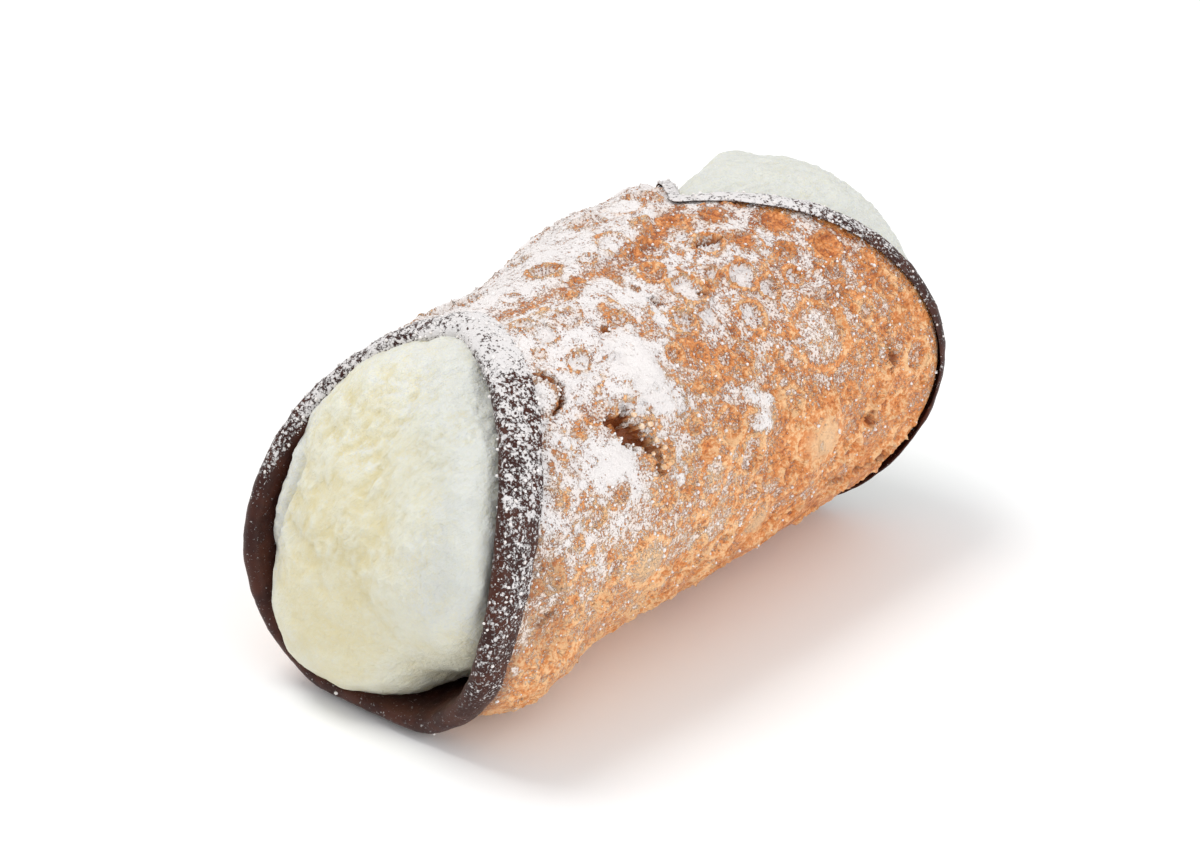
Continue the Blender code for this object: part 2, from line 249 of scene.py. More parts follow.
rng = np.random.default_rng(5)
craters = list(CHOSEN_CRATERS)
for _ in range(CRATER_TRIES):
    angle, y = rng.uniform(*CRATER_ANGLES), rng.uniform(*CRATER_PLACES)
    largest = LARGE_RADIUS if y > -4 or angle > 95 else SMALL_RADIUS
    radius = rng.uniform(0.5, 1.0) ** 2 * largest
    rim, depth = radius * rng.uniform(0.14, 0.28), radius * rng.uniform(0.15, 0.35)
    filling = rng.uniform(-0.7, 0.6)
    gaps = [
        math.hypot((angle - other[0]) * MM_PER_DEGREE, y - other[1])
        - CLOSENESS * (radius + other[2])
        for other in craters
    ]
    if min(gaps) > 0:
        craters.append((angle, y, radius, rim, depth, filling))
for angle, y, radius, rim, depth, filling in craters:
    indices, share = dab(tree, on_crust(tree, angle, y), radius * MM, wobble)
    if not len(indices):
        continue
    beyond = (share - 1.0) * radius
    rim_width = np.where(beyond > 0, 0.15 + 0.10 * radius, 0.13 + 0.05 * radius)
    ring = np.exp(-((beyond / rim_width) ** 2))
    bowl = 1 - ramp(share, 0.68, 0.98)
    height[indices] += MM * (1.15 * rim * ring - depth * bowl)
    toast[indices] -= 0.10 * bowl
    sugar_hold[indices] += (0.6 if filling > 0 else 1.0) * filling * bowl
    rims[indices] = np.maximum(rims[indices], ring * min(1.0, 2.2 * rim))

# Blisters that stayed whole: smooth and pale. Each is (angle, along, radius, height, sugar on it).
BLISTERS = (
    (31.3, 18.0, 4.3, 0.35, 0.12), (0.2, 14.8, 3.8, 0.6, -0.85), (-8.1, -16.7, 3.4, 0.55, -0.45),
    (48.5, -10.5, 4.4, 1.0, 0.62), (29.5, -20.5, 3.2, 0.40, 0.6), (57.5, -24.0, 2.2, 0.4, 0.1),
    (16.9, 5.0, 2.3, 0.60, 0.9), (25.0, 4.8, 1.5, 0.30, 0.6), (-20.0, 5.0, 3.0, 0.4, -0.3),
    (8.0, -5.0, 2.6, 0.3, 0.0), (120.0, -15.0, 3.5, 0.7, 0.2), (140.0, 8.0, 3.8, 0.8, 0.2),
    (165.0, -10.0, 4.0, 0.8, 0.0), (185.0, 15.0, 3.6, 0.7, -0.2), (150.0, 25.0, 3.0, 0.6, 0.1),
    (128.0, 22.0, 2.6, 0.5, 0.2), (205.0, -5.0, 3.6, 0.7, -0.3), (175.0, -25.0, 3.0, 0.6, 0.0),
    (105.0, 12.0, 2.6, 0.5, 0.3),
)
for angle, y, radius, rise, filling in BLISTERS:
    sugary = filling > 0.5
    unevenness = ragged if sugary else 0.5 * wobble
    indices, share = dab(tree, on_crust(tree, angle, y), radius * MM, unevenness)
    dome = 1 - ramp(share, 0.1, 1.25) if sugary else 1 - ramp(share, 0.3, 1.0)
    rim = 0.0 if sugary else np.exp(-(((share - 1.0) / 0.12) ** 2))
    height[indices] = (1 - 0.8 * dome) * height[indices] + MM * (rise * dome + 0.15 * rim)
    toast[indices] = (1 - dome) * toast[indices] - 0.9 * dome + 0.35 * rim
    sugar_hold[indices] = (1 - dome) * sugar_hold[indices] + filling * dome
    rims[indices] = np.maximum((1 - dome) * rims[indices], 0.7 * rim)
    plain[indices] = np.maximum(plain[indices], dome * (filling < -0.2))

FAR = 9.0  # a start value beyond every reach


def from_crust_line(start, end):
    """Each point's distance from a line between two places on the crust, and its share of it."""
    return along_line(at, on_crust(tree, *start[:2]), on_crust(tree, *end[:2]))


# The tears: the crust broke open there, and its edges stand up round a deep gap, coloured deep
# brown, partly the dough's own colour and partly painted shade. Each has its depth, and its line as
# (angle, along, half width). The first two are the big one and its branch.
TEARS = (
    (2.0, ((40.4, -19.2, 0.3), (38.8, -17.6, 1.1), (36.0, -16.9, 1.25), (33.0, -16.2, 1.05),
           (29.5, -15.2, 0.65), (25.8, -13.6, 0.40), (20.0, -14.0, 0.25))),
    (1.2, ((37.0, -16.8, 0.7), (41.8, -15.6, 0.25))),
    (1.1, ((65.0, -22.4, 0.2), (63.5, -21.9, 0.3), (60.0, -21.2, 0.35), (57.2, -21.0, 0.35),
           (53.0, -21.8, 0.25), (51.2, -23.9, 0.15))),
    (1.1, ((68.0, -1.0, 0.2), (65.9, -0.4, 0.40), (63.6, -0.1, 0.2))),
    (0.7, ((77.0, 12.0, 0.2), (76.5, 13.4, 0.35), (73.5, 14.2, 0.2))),
    (0.7, ((61.5, 5.8, 0.2), (60.0, 6.2, 0.35))),
    (0.9, ((-22.0, 18.5, 0.2), (-26.0, 22.6, 0.40), (-28.0, 27.0, 0.45), (-28.0, 31.0, 0.2))),
    (0.8, ((17.0, 29.0, 0.25), (13.0, 29.2, 0.45), (9.5, 28.8, 0.25))),
    (0.7, ((-2.0, 26.0, 0.2), (-6.0, 25.6, 0.35))),
    (0.6, ((-9.0, -32.0, 0.2), (-11.5, -34.0, 0.35))),
)
gap_brown_and_shade = np.zeros(len(at))
torn = 0.8 * waves(at, 1.0 * MM, 2, offset=17.0)
for depth, line in TEARS:
    gap = np.full(len(at), FAR)
    for start, end in zip(line, line[1:]):
        distance, share = from_crust_line(start, end)
        gap = np.minimum(gap, distance / (MM * (start[2] + (end[2] - start[2]) * share)))
    gap *= np.clip(1 + 1.3 * wobble + torn, 0.5, 1.8)
    cut = 1 - ramp(gap, 0.60, 1.0)
    lip = np.exp(-(((gap - 1.7) / 0.6) ** 2))
    height += MM * (0.30 * lip - depth * cut)
    # The gap's deep brown is partly the dough's own colour and partly painted shade.
    gap_brown_and_shade = np.maximum(gap_brown_and_shade, 1 - ramp(gap, 0.8, 1.15))
    toast += 0.2 * lip
    sugar_hold -= 3.0 * cut

# Folds that stand up from the crust, each with its width, its height and its line as
# (angle, along). The first runs back from the front notch, below the lap.
FOLDS = (
    (1.3, 0.45, ((84, -24), (76, -15), (68.1, -7.3), (63.3, -4.8), (55.3, -4.0))),
    (0.7, 0.40, ((44.8, 15.5), (45.5, 19.0), (44.3, 21.3), (43.0, 24.5))),
    (1.0, 0.25, ((76, -20), (70, -14), (62, -13))),
    (0.8, 0.25, ((14, -18), (16, -8), (10, 0), (14, 9))),
    (0.8, 0.25, ((-14, -6), (-16, 4), (-12, 12))),
    (1.2, 0.35, ((100, -20), (104, -6), (98, 6))),
)
for width, rise, line in FOLDS:
    from_fold = np.full(len(at), FAR)
    for start, end in zip(line, line[1:]):
        from_fold = np.minimum(from_fold, from_crust_line(start, end)[0] / (MM * width))
    height += MM * rise * np.exp(-((from_fold * (1 + wobble)) ** 2))

# It stays flat where the chocolate lies on it, and melted chocolate stained it beyond the front
# edge, apart from the top, where the notch of the front edge is.
FLAT_REACH, STAIN_REACH = 1.6 * MM, 3.0 * MM
clear = np.ones(len(at))
stain = np.zeros(len(at))
for node in ("chocolate_front", "chocolate_back"):
    edge = surface_of(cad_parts[node].data)
    for index in np.nonzero(np.abs(along) > 22)[0]:
        distance = edge.find_nearest(Vector(at[index]), 4 * MM)[3]
        if distance is not None:
            clear[index] = min(clear[index], distance / FLAT_REACH)
            stain[index] = max(0.0, 1 - distance / STAIN_REACH) * (along[index] < 0)
at_notch = ramp(angles, 62, 74) * ramp(-angles, -110, -98) * (along < 0)
stain *= 1 - at_notch
height *= outside * (1 - 0.85 * underneath) * ramp(clear, 0.3, 1.0)
height -= 0.12 * MM * outside * (1 - ramp(clear, 0.3, 0.8)) * (1 - 3.0 * at_notch)
at = at + outwards * height[:, None]
at[:, 2] = np.maximum(at[:, 2], 0.0)
move_points(crust, at)
crust.data.shade_smooth()

# The outer edge of the dough laps over the rest along a bowed seam, and its step is steep and bare.
SEAM_START, SEAM_LENGTH, SEAM_BOW = -21.5, 40.6, 11.0
SEAM_FADE = 4
seam_end = SEAM_START + SEAM_LENGTH
seam_share = np.clip((along - SEAM_START) / SEAM_LENGTH, 0, 1)
seam_angle = 97 + 3 * seam_share - SEAM_BOW * np.sin(math.pi * seam_share)
on_seam = ramp(along, SEAM_START, SEAM_START + SEAM_FADE)
on_seam *= ramp(-along, -seam_end, SEAM_FADE - seam_end)
step = np.exp(-(((angles - seam_angle + 3.5) / 3.0) ** 2)) * on_seam

# The icing sugar lies all over the top, in drifts by the front edge, and in specks lower down.
# The share of the crust that it hides has a row for each angle, from the front to the back.
SUGAR_PLACES = (-34, -20, 0, 20, 34)
SUGAR_SHARES = (
    (-60, (0.02, 0.04, 0.04, 0.02, 0.02)),
    (-20, (0.26, 0.36, 0.32, 0.18, 0.14)),
    (0, (0.45, 0.52, 0.38, 0.22, 0.16)),
    (30, (0.74, 0.68, 0.50, 0.42, 0.28)),
    (60, (0.86, 0.78, 0.74, 0.60, 0.40)),
    (90, (1.0, 0.92, 0.78, 0.68, 0.66)),
    (120, (0.93, 0.92, 0.88, 0.80, 0.70)),
    (160, (0.52, 0.62, 0.60, 0.52, 0.38)),
    (200, (0.12, 0.15, 0.14, 0.12, 0.10)),
    (240, (0.0, 0.0, 0.0, 0.0, 0.0)),
)
# A drift is (angle, along, reach, amount). A bare place has an amount below 0.
SUGAR_DRIFTS = (
    (46, -10.5, 3.6, 0.16), (42, -11.8, 2.2, 0.30), (42, -19.5, 2.6, -0.22), (66, -10, 3.0, -0.18),
    (38, -8.0, 3.0, 0.18), (29, -20.5, 3.2, 0.25), (31, 18, 4.5, 0.08), (43.7, 0.6, 2.4, -0.30),
    (47.0, -3.0, 2.0, -0.4), (58.5, -5.5, 1.6, -0.45), (36.5, 2.0, 2.0, -0.15),
    (12.0, -30.0, 3.0, 0.2), (4.0, 9.0, 3.0, -0.2),
)
THICKEST = 1.15  # the most sugar there is at a place
sugar_columns = np.array([np.interp(along, SUGAR_PLACES, row) for _, row in SUGAR_SHARES])
turned = np.where(angles < -90, angles + 360, angles)
row_angles = np.array([angle for angle, _ in SUGAR_SHARES], float)
row = np.clip(np.searchsorted(row_angles, turned) - 1, 0, len(SUGAR_SHARES) - 2)
share = np.clip((turned - row_angles[row]) / (row_angles[row + 1] - row_angles[row]), 0, 1)
here = np.arange(len(at))
sugar = sugar_columns[row, here] * (1 - share) + sugar_columns[row + 1, here] * share
sugar += 0.22 * waves(at, 2.6 * MM, 3, offset=21.0)
for angle, y, reach, amount in SUGAR_DRIFTS:
    away = distance_from(at, on_crust(tree, angle, y)) / (reach * MM)
    sugar += amount * np.exp(-(away**2))
sugar += 0.60 * sugar_hold * ramp(sugar, -0.1, 0.3) - 0.45 * step
sugar *= ramp(normals_of(crust)[:, 2], -0.85, -0.25) * outside
keep_value(crust, "sugar", np.clip(sugar, 0, THICKEST))
# It is paler low at the front, and browner on top and at the back. The lap's step is browner too,
# as painted shade.
toast += 0.5 * step - 0.45 * ramp(-angles, -30, 20) * ramp(-along, -10, 15)
toast += (0.45 + 0.35 * ramp(along, 10, 25)) * ramp(angles, 30, 55) * ramp(-angles, -120, -95)
toast += 0.25 * ramp(along, -6, 10)
keep_value(crust, "toast", np.clip(toast, -1, 1.5))
keep_value(crust, "gap_brown_and_shade", gap_brown_and_shade)
rims *= 1 - 0.65 * ramp(angles, 94, 110) * ramp(-angles, -185, -150)
keep_value(crust, "rims", rims)
keep_value(crust, "plain", plain)
keep_value(crust, "stain", stain)


class Nodes:
    """The node tree of one new material, with short ways to add to it."""

    def __init__(self, name):
        self.material = bpy.data.materials.new(name)
        self.material.use_nodes = True
        self.tree = self.material.node_tree
        self.surface = self.tree.nodes["Principled BSDF"]

    def add(self, kind, inputs=None, **settings):
        node = self.tree.nodes.new(kind)
        for key, value in settings.items():
            setattr(node, key, value)
        for key, value in (inputs or {}).items():
            self.feed(node.inputs[key], value)
        return node

    def feed(self, socket, value):
        if isinstance(value, bpy.types.NodeSocket):
            self.tree.links.new(value, socket)
        else:
            socket.default_value = value

    def place(self):
        return self.add("ShaderNodeTexCoord").outputs["Object"]

    def value(self, name):
        return self.add("ShaderNodeAttribute", attribute_name=name).outputs["Fac"]

    def noise(self, size, detail=3.0, roughness=0.55, place=None):
        """Random grain of that size, from 0 to 1."""
        inputs = {"Scale": 1 / size, "Detail": detail, "Roughness": roughness}
        inputs["Vector"] = place or self.place()
        return self.add("ShaderNodeTexNoise", inputs).outputs["Fac"]

    def math(self, operation, first, second=0.0, third=0.0):
        inputs = {0: first, 1: second, 2: third}
        return self.add("ShaderNodeMath", inputs, operation=operation).outputs[0]

    def fit(self, value, start, end, low=0.0, high=1.0, smooth=True):
        """Brings a value from the range of start to end to the range of low to high."""
        inputs = {"Value": value, "From Min": start, "From Max": end, "To Min": low, "To Max": high}
        kind = "SMOOTHSTEP" if smooth else "LINEAR"
        return self.add("ShaderNodeMapRange", inputs, interpolation_type=kind).outputs["Result"]

    def mix(self, share, first, second):
        """The first colour, and by that share the second."""
        node = self.add("ShaderNodeMix", data_type="RGBA")
        self.feed(node.inputs["Factor"], share)
        self.feed(node.inputs["A"], (*first, 1) if isinstance(first, tuple) else first)
        self.feed(node.inputs["B"], (*second, 1) if isinstance(second, tuple) else second)
        return node.outputs["Result"]

    def bump(self, height, distance, strength=1.0, under=None):
        inputs = {"Height": height, "Distance": distance, "Strength": strength}
        if under is not None:
            inputs["Normal"] = under
        return self.add("ShaderNodeBump", inputs).outputs["Normal"]

    def finish(self, colour, roughness, normal):
        """Gives the surface its colour, its roughness and its fine relief."""
        for name, value in (("Base Color", colour), ("Roughness", roughness), ("Normal", normal)):
            self.feed(self.surface.inputs[name], value)


SUGAR_WHITE = (0.83, 0.80, 0.792)
# Thin sugar shows the crust's tint under it, and is warmed further as painted warm bounce light.
THIN_SUGAR_WARM_LIGHT = (0.87, 0.73, 0.62)  # the crust tints a thin layer


def sugar_cover(nodes, amount, coarse, fine, softness):
    """How much the icing sugar covers at a place, from the share of it that lies round there: a
    fine speckle that thickens in drifts, with single clumps even where there is little of it."""
    drifts = nodes.fit(nodes.noise(coarse, 4.0, 0.62), 0.30, 0.70, -0.5, 0.5, smooth=False)
    amount = nodes.math("MULTIPLY_ADD", drifts, nodes.fit(amount, 0.0, 0.5, 0.0, 0.7), amount)
    specks = nodes.fit(nodes.noise(fine, 3.0, 0.7), 0.32, 0.68, smooth=False)
    bare = nodes.math("SUBTRACT", 1.0, amount)
    cover = nodes.fit(nodes.math("SUBTRACT", specks, bare), -softness / 2, softness / 2)
    clump_room = 2.8 * fine
    cells = nodes.add("ShaderNodeTexVoronoi", {"Vector": nodes.place(), "Scale": 1 / clump_room})
    size = nodes.add("ShaderNodeSeparateColor", {0: cells.outputs["Color"]}).outputs[0]
    largest = nodes.fit(amount, 0.0, 0.5, 0.0, 0.40, smooth=False)
    size = nodes.math("MULTIPLY", largest, nodes.fit(size, 0.40, 1.0))
    clumps = nodes.fit(nodes.math("SUBTRACT", cells.outputs["Distance"], size), 0.06, -0.06)
    return nodes.math("MAXIMUM", cover, nodes.math("MULTIPLY", clumps, 0.85))


def sugar_relief(nodes, cover, under):
    """The icing sugar stands up a little from the surface under it, and is a rough powder."""
    grain = nodes.noise(0.45 * MM, 4.0, 0.65)
    powder = nodes.math("MULTIPLY_ADD", grain, nodes.math("MULTIPLY", cover, 1.2), cover)
    return nodes.bump(powder, 0.12 * MM, 0.9, under)


def ring_pattern(nodes, size, chosen):
    """Small round craters of about that size, in the chosen share of the places: how near a place
    is to a rim, how deep it is inside one, and a random number for each crater."""
    place = nodes.place()
    inputs = {"Vector": place, "Scale": 1.2 / size, "Detail": 3.0}
    shift = nodes.add("ShaderNodeTexNoise", inputs).outputs["Color"]
    for operation, inputs in (
        ("ADD", {1: (-0.5, -0.5, -0.5)}),
        ("SCALE", {"Scale": 1.1 * size}),
        ("ADD", {1: place}),
    ):
        step = nodes.add("ShaderNodeVectorMath", {0: shift, **inputs}, operation=operation)
        shift = step.outputs[0]
    inputs = {"Vector": shift, "Scale": 1 / size, "Randomness": 1.0}
    cells = nodes.add("ShaderNodeTexVoronoi", inputs)
    parts = nodes.add("ShaderNodeSeparateColor", {0: cells.outputs["Color"]})
    here = nodes.fit(parts.outputs[1], 1 - chosen - 0.05, 1 - chosen + 0.05)
    reach = nodes.fit(parts.outputs[0], 0.0, 1.0, 0.20, 0.42)
    beyond = nodes.math("SUBTRACT", cells.outputs["Distance"], reach)
    rim = nodes.fit(nodes.math("ABSOLUTE", beyond), 0.10, 0.0)
    bowl = nodes.fit(beyond, 0.0, -0.14)
    return nodes.math("MULTIPLY", rim, here), nodes.math("MULTIPLY", bowl, here), parts.outputs[2]


PALE_DOUGH = (0.88, 0.53, 0.27)
GOLDEN_DOUGH = (0.70, 0.255, 0.07)
BROWN_DOUGH = (0.38, 0.10, 0.022)
BLISTER_SKIN = (0.80, 0.52, 0.29)
GAP_BROWN_AND_SHADE_DOUGH = (0.23, 0.058, 0.012)
CHOCOLATE_STAIN = (0.12, 0.045, 0.035)


def fried_crust():
    nodes = Nodes("fried_crust")
    rim, bowl, kind = ring_pattern(nodes, 2.4 * MM, 0.40)
    rims, plain_skin = nodes.value("rims"), nodes.value("plain")

    # The dough: pale to brown in mottles and specks, paler on the rims and on whole blisters.
    mottle = nodes.fit(nodes.noise(1.1 * MM, 5.0, 0.68), 0.3, 0.7, -1.1, 1.1)
    specks = nodes.fit(nodes.noise(0.36 * MM, 3.0, 0.6), 0.3, 0.7, -0.9, 0.9)
    calm = nodes.fit(plain_skin, 0, 1, 1.0, 0.35)
    uneven = nodes.math("MULTIPLY", nodes.math("ADD", mottle, specks), calm)
    toasted = nodes.math("ADD", nodes.value("toast"), uneven)
    toasted = nodes.math("MULTIPLY_ADD", rim, -0.3, toasted)
    toasted = nodes.math("MULTIPLY_ADD", rims, -1.7, toasted)
    colour = nodes.mix(nodes.fit(toasted, -1.5, 0.1), PALE_DOUGH, GOLDEN_DOUGH)
    colour = nodes.mix(nodes.fit(toasted, 0.1, 1.7), colour, BROWN_DOUGH)
    colour = nodes.mix(nodes.math("MULTIPLY", plain_skin, 0.75), colour, BLISTER_SKIN)
    # Deep brown in the tears, partly painted shade.
    colour = nodes.mix(nodes.value("gap_brown_and_shade"), colour, GAP_BROWN_AND_SHADE_DOUGH)
    colour = nodes.mix(nodes.math("MULTIPLY", nodes.value("stain"), 0.8), colour, CHOCOLATE_STAIN)

    # The sugar on it, which slides off the rims and collects in some of the craters.
    amount = nodes.math("ADD", nodes.value("sugar"), 0.10)
    amount = nodes.math("MULTIPLY_ADD", rim, -0.12, amount)
    amount = nodes.math("MULTIPLY_ADD", rims, -0.85, amount)
    amount = nodes.math("MULTIPLY_ADD", bowl, nodes.fit(kind, 0.3, 0.7, -0.25, 0.25), amount)
    cover = sugar_cover(nodes, amount, 1.0 * MM, 0.28 * MM, 0.48)
    opacity = nodes.fit(amount, 0.10, 0.95, 0.74, 0.95)
    # Thin sugar in its warm tint, partly painted warm bounce light.
    powder = nodes.mix(nodes.fit(amount, 0.30, 0.90), THIN_SUGAR_WARM_LIGHT, SUGAR_WHITE)
    colour = nodes.mix(nodes.math("MULTIPLY", cover, opacity), colour, powder)

    relief = nodes.math("MULTIPLY_ADD", rim, 0.35, nodes.noise(0.7 * MM, 5.0, 0.65))
    relief = nodes.math("MULTIPLY_ADD", bowl, -0.30, relief)
    normal = sugar_relief(nodes, cover, nodes.bump(relief, 0.28 * MM))
    nodes.finish(colour, nodes.fit(cover, 0, 1, 0.42, 0.85), normal)
    nodes.surface.inputs["Specular IOR Level"].default_value = 0.4
    return nodes.material


crust.data.materials.clear()
crust.data.materials.append(fried_crust())
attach(crust, "root")
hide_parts("shell")

# ---------------------------------------------------------------------------------------------
# The cream: sweet ricotta, piped into the tube from both ends so that it swells out of the mouths.
# It is moist and a little grainy, with short strokes where a spatula passed over it.
# ---------------------------------------------------------------------------------------------
CREAM_GRID, CREAM_TRIANGLES, CREAM_SMOOTHING = 0.30 * MM, 196_000, 6

cream = clean_copy("cream", "cream_filling")
even_skin(cream, CREAM_GRID, CREAM_SMOOTHING)
at = points_of(cream)
hidden = ramp(33 * MM - np.abs(at[:, 1] - MIDDLE_Y), 6 * MM, 12 * MM) * (at[:, 2] < 36 * MM)
thin_out(cream, hidden, CREAM_TRIANGLES)

at = points_of(cream)
outwards = normals_of(cream)
mouth = ramp(np.abs(at[:, 1] - MIDDLE_Y), 12 * MM, 20 * MM)
# It is drawn in a little inside the tube, and presses against the chocolate at the mouths.
height = (1.05 * mouth - 0.70) * MM
# Where it swells out more or less: (place in millimetres, reach, how far).
SWELLS = (
    ((-9.0, -27.0, 38.5), 8.0, 2.2), ((-15.0, -31.0, 32.0), 7.0, 1.5),
    ((-1.0, -24.0, 41.0), 6.0, 1.5), ((-4.0, -40.0, 27.0), 8.0, 0.5),
    ((-11.0, -40.0, 19.5), 2.4, -1.0), ((-8.0, -42.5, 23.0), 3.0, 0.5),
    ((-15.5, -39.5, 22.5), 2.2, 1.4), ((-11.0, -38.0, 6.5), 7.0, 2.2),
    ((-3.0, -41.0, 6.0), 6.0, 1.0), ((10.0, -36.0, 7.0), 6.0, -1.8),
    ((1.5, -25.0, 41.0), 3.2, 1.0), ((-9.0, 20.0, 40.0), 8.0, 1.6),
    ((-14.0, 22.0, 37.0), 7.0, 1.5), ((-5.0, -37.0, 33.0), 3.0, -0.5),
    ((1.0, -38.5, 27.5), 2.6, -0.45), ((-7.5, -39.5, 27.0), 2.4, -0.4),
    ((6.0, 44.0, 30.0), 9.0, 0.8), ((-6.0, 44.0, 16.0), 9.0, 0.8), ((4.0, 43.0, 12.0), 3.0, -0.8),
)
for centre, reach, rise in SWELLS:
    away = distance_from(at / MM, centre) / reach
    height += MM * rise * np.exp(-(away**2) * 1.5)

# The strokes run the way the spatula went, up to the back and the near side, and bend a little.
STROKE_WAY = np.array((0.424, 0.737, 0.526))
STROKE_SIDE = np.array((-0.70, 0.0, 0.56)) / math.hypot(0.70, 0.56)
STROKE_WIDTH, STROKE_LENGTH = 0.85 * MM, 3.2  # the length is in widths
stroke_frame = np.array((STROKE_WAY, STROKE_SIDE, np.cross(STROKE_WAY, STROKE_SIDE))).T
bend = [waves(at, 5 * MM, 2, offset=offset) for offset in (13.0, 29.0, 37.0)]
bent = at + 0.8 * MM * np.stack(bend, axis=1)
strokes = waves(bent @ stroke_frame, STROKE_WIDTH, 4, stretch=(STROKE_LENGTH, 1.0, 1.0))
curds = waves(at, 1.6 * MM, 3, offset=19.0)
lumpiness = waves(at, 4.5 * MM, 3, offset=5.0)
upper = 0.25 + 0.75 * ramp(at[:, 2], 12 * MM, 24 * MM)
upper *= 0.55 + 0.45 * ramp(waves(at, 6 * MM, 2, offset=71.0), -0.3, 0.2)
upper *= 1 - 0.6 * ramp(at[:, 0], 6 * MM, 14 * MM)
height += MM * mouth * upper * (0.26 * strokes + 0.15 * curds)
height += MM * mouth * 0.42 * lumpiness

# A thin sliver stands apart from the rest at the far side of the front mouth, behind a crease. The
# crease's line is (x, z) on the front of the cream.
CREASE = ((-13.2, 27.0), (-14.4, 21.4), (-15.4, 16.0))
CREASE_DEPTH, CREASE_WIDTH = 1.0 * MM, 0.42 * MM
SLIVER_PLACE, SLIVER_HEIGHT, SLIVER_WIDTH = 1.3, 0.5 * MM, 0.9 * MM


def near_crease(start, end, beyond, width):
    """1 on a part of the crease, or that far beyond it, and 0 away from it."""
    line = [((x - beyond) * MM, 0, z * MM) for x, z in (start, end)]
    distance, _ = along_line(at * (1, 0, 1), *line)
    distance[at[:, 1] > -30 * MM] = FAR
    return np.exp(-((distance / width) ** 2))


sliver = np.zeros(len(at))
for start, end in zip(CREASE, CREASE[1:]):
    height -= CREASE_DEPTH * near_crease(start, end, 0, CREASE_WIDTH)
    sliver = np.maximum(sliver, near_crease(start, end, SLIVER_PLACE, SLIVER_WIDTH))
height += SLIVER_HEIGHT * sliver
# Painted shade and highlight: the colour is yellower in the hollows of the strokes, curds and
# lumps, and whiter on their crests.
relief_shade_and_highlight = upper * (strokes + 0.6 * curds) + 0.5 * lumpiness
at = at + outwards * height[:, None]
at[:, 2] = np.maximum(at[:, 2], 0.4 * MM)
move_points(cream, at)
cream.data.shade_smooth()

# A little sugar lies on it by the chocolate, in the notch and on top, and it is yellower in the
# middle of the front mouth than towards the edge.
NOTCH_PLACE, NOTCH_REACH = (2.0, -25.5, 41.5), 6.5
up = normals_of(cream)[:, 2]
edge = ramp(at[:, 0], 5 * MM, 14 * MM) * ramp(at[:, 2], 12 * MM, 25 * MM)
back = ramp(at[:, 1], 5 * MM, 15 * MM)
notch = np.exp(-((distance_from(at / MM, NOTCH_PLACE) / NOTCH_REACH) ** 2))
dust = 0.05 + 0.75 * edge + 0.45 * ramp(up, 0.55, 0.95) + 0.35 * back + 0.6 * sliver + 0.8 * notch
dust += 0.5 * ramp(-at[:, 0], 12 * MM, 15 * MM)
from_middle = np.hypot((at[:, 0] + 5.0 * MM) / (11 * MM), (at[:, 2] - 20.0 * MM) / (20 * MM))
keep_value(cream, "pale", 0.55 * ramp(from_middle, 0.4, 1.1) + 0.4 * back)
keep_value(cream, "dust", np.clip(dust, 0, 0.85))
keep_value(cream, "relief_shade_and_highlight", relief_shade_and_highlight)
# Painted shade: the right flank of the front cream, the part under the chocolate by the notch and
# the back cream are greyed in colour where shade falls on them.
under_chocolate = ramp(at[:, 0], -3 * MM, 6 * MM) * ramp(at[:, 2], 26 * MM, 36 * MM)
shaded = np.maximum(edge, 0.9 * under_chocolate)
keep_value(cream, "edge", np.where(at[:, 1] < 0, shaded, 0.55 * back))

YELLOW_CREAM_AND_SHADE, WHITE_CREAM_AND_HIGHLIGHT = (0.70, 0.62, 0.37), (0.735, 0.715, 0.58)
# The dusted colour is sugar dust in a grey that also paints the shade on the cream's right flank.
DUST_AND_SHADE_CREAM, PAINTED_SHADE_CREAM = (0.675, 0.68, 0.655), (0.54, 0.56, 0.53)


def ricotta():
    nodes = Nodes("ricotta_cream")
    inputs = {"Vector": nodes.place(), "Rotation": Matrix(stroke_frame.tolist()).to_euler()}
    inputs["Scale"] = (3.0, 1.0, 1.0)
    along_strokes = nodes.add("ShaderNodeMapping", inputs, vector_type="TEXTURE").outputs["Vector"]
    brushed = nodes.noise(0.45 * MM, 4.0, 0.6, along_strokes)
    # The tone is random grain, paler towards the edge, and painted shade and highlight: yellower in
    # the hollows and whiter on the crests and the brushed ridges.
    tone = nodes.math("MULTIPLY_ADD", nodes.noise(3 * MM, 3.0), 1.6, nodes.value("relief_shade_and_highlight"))
    tone = nodes.math("MULTIPLY_ADD", brushed, 1.2, tone)
    tone = nodes.math("ADD", nodes.math("MULTIPLY", tone, 0.7), nodes.value("pale"))
    colour = nodes.mix(nodes.fit(tone, 0.5, 1.9), YELLOW_CREAM_AND_SHADE, WHITE_CREAM_AND_HIGHLIGHT)
    cover = sugar_cover(nodes, nodes.value("dust"), 1.6 * MM, 0.3 * MM, 0.9)
    # Sugar dust on the cream, its grey partly painted shade.
    colour = nodes.mix(nodes.math("MULTIPLY", cover, 0.8), colour, DUST_AND_SHADE_CREAM)
    # Painted shade: greys the cream where it lies in shade.
    colour = nodes.mix(nodes.math("MULTIPLY", nodes.value("edge"), 0.40), colour, PAINTED_SHADE_CREAM)
    nodes.surface.inputs["Subsurface Weight"].default_value = 0.25
    nodes.surface.inputs["Subsurface Radius"].default_value = (1.0, 0.85, 0.55)
    nodes.surface.inputs["Subsurface Scale"].default_value = 0.8 * MM
    grains = nodes.bump(nodes.noise(0.35 * MM, 3.0, 0.6), 0.10 * MM)
    nodes.finish(colour, 0.45, nodes.bump(brushed, 0.30 * MM, 0.9, grains))
    return nodes.material


cream.data.materials.clear()
cream.data.materials.append(ricotta())
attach(cream, "root")
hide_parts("cream")

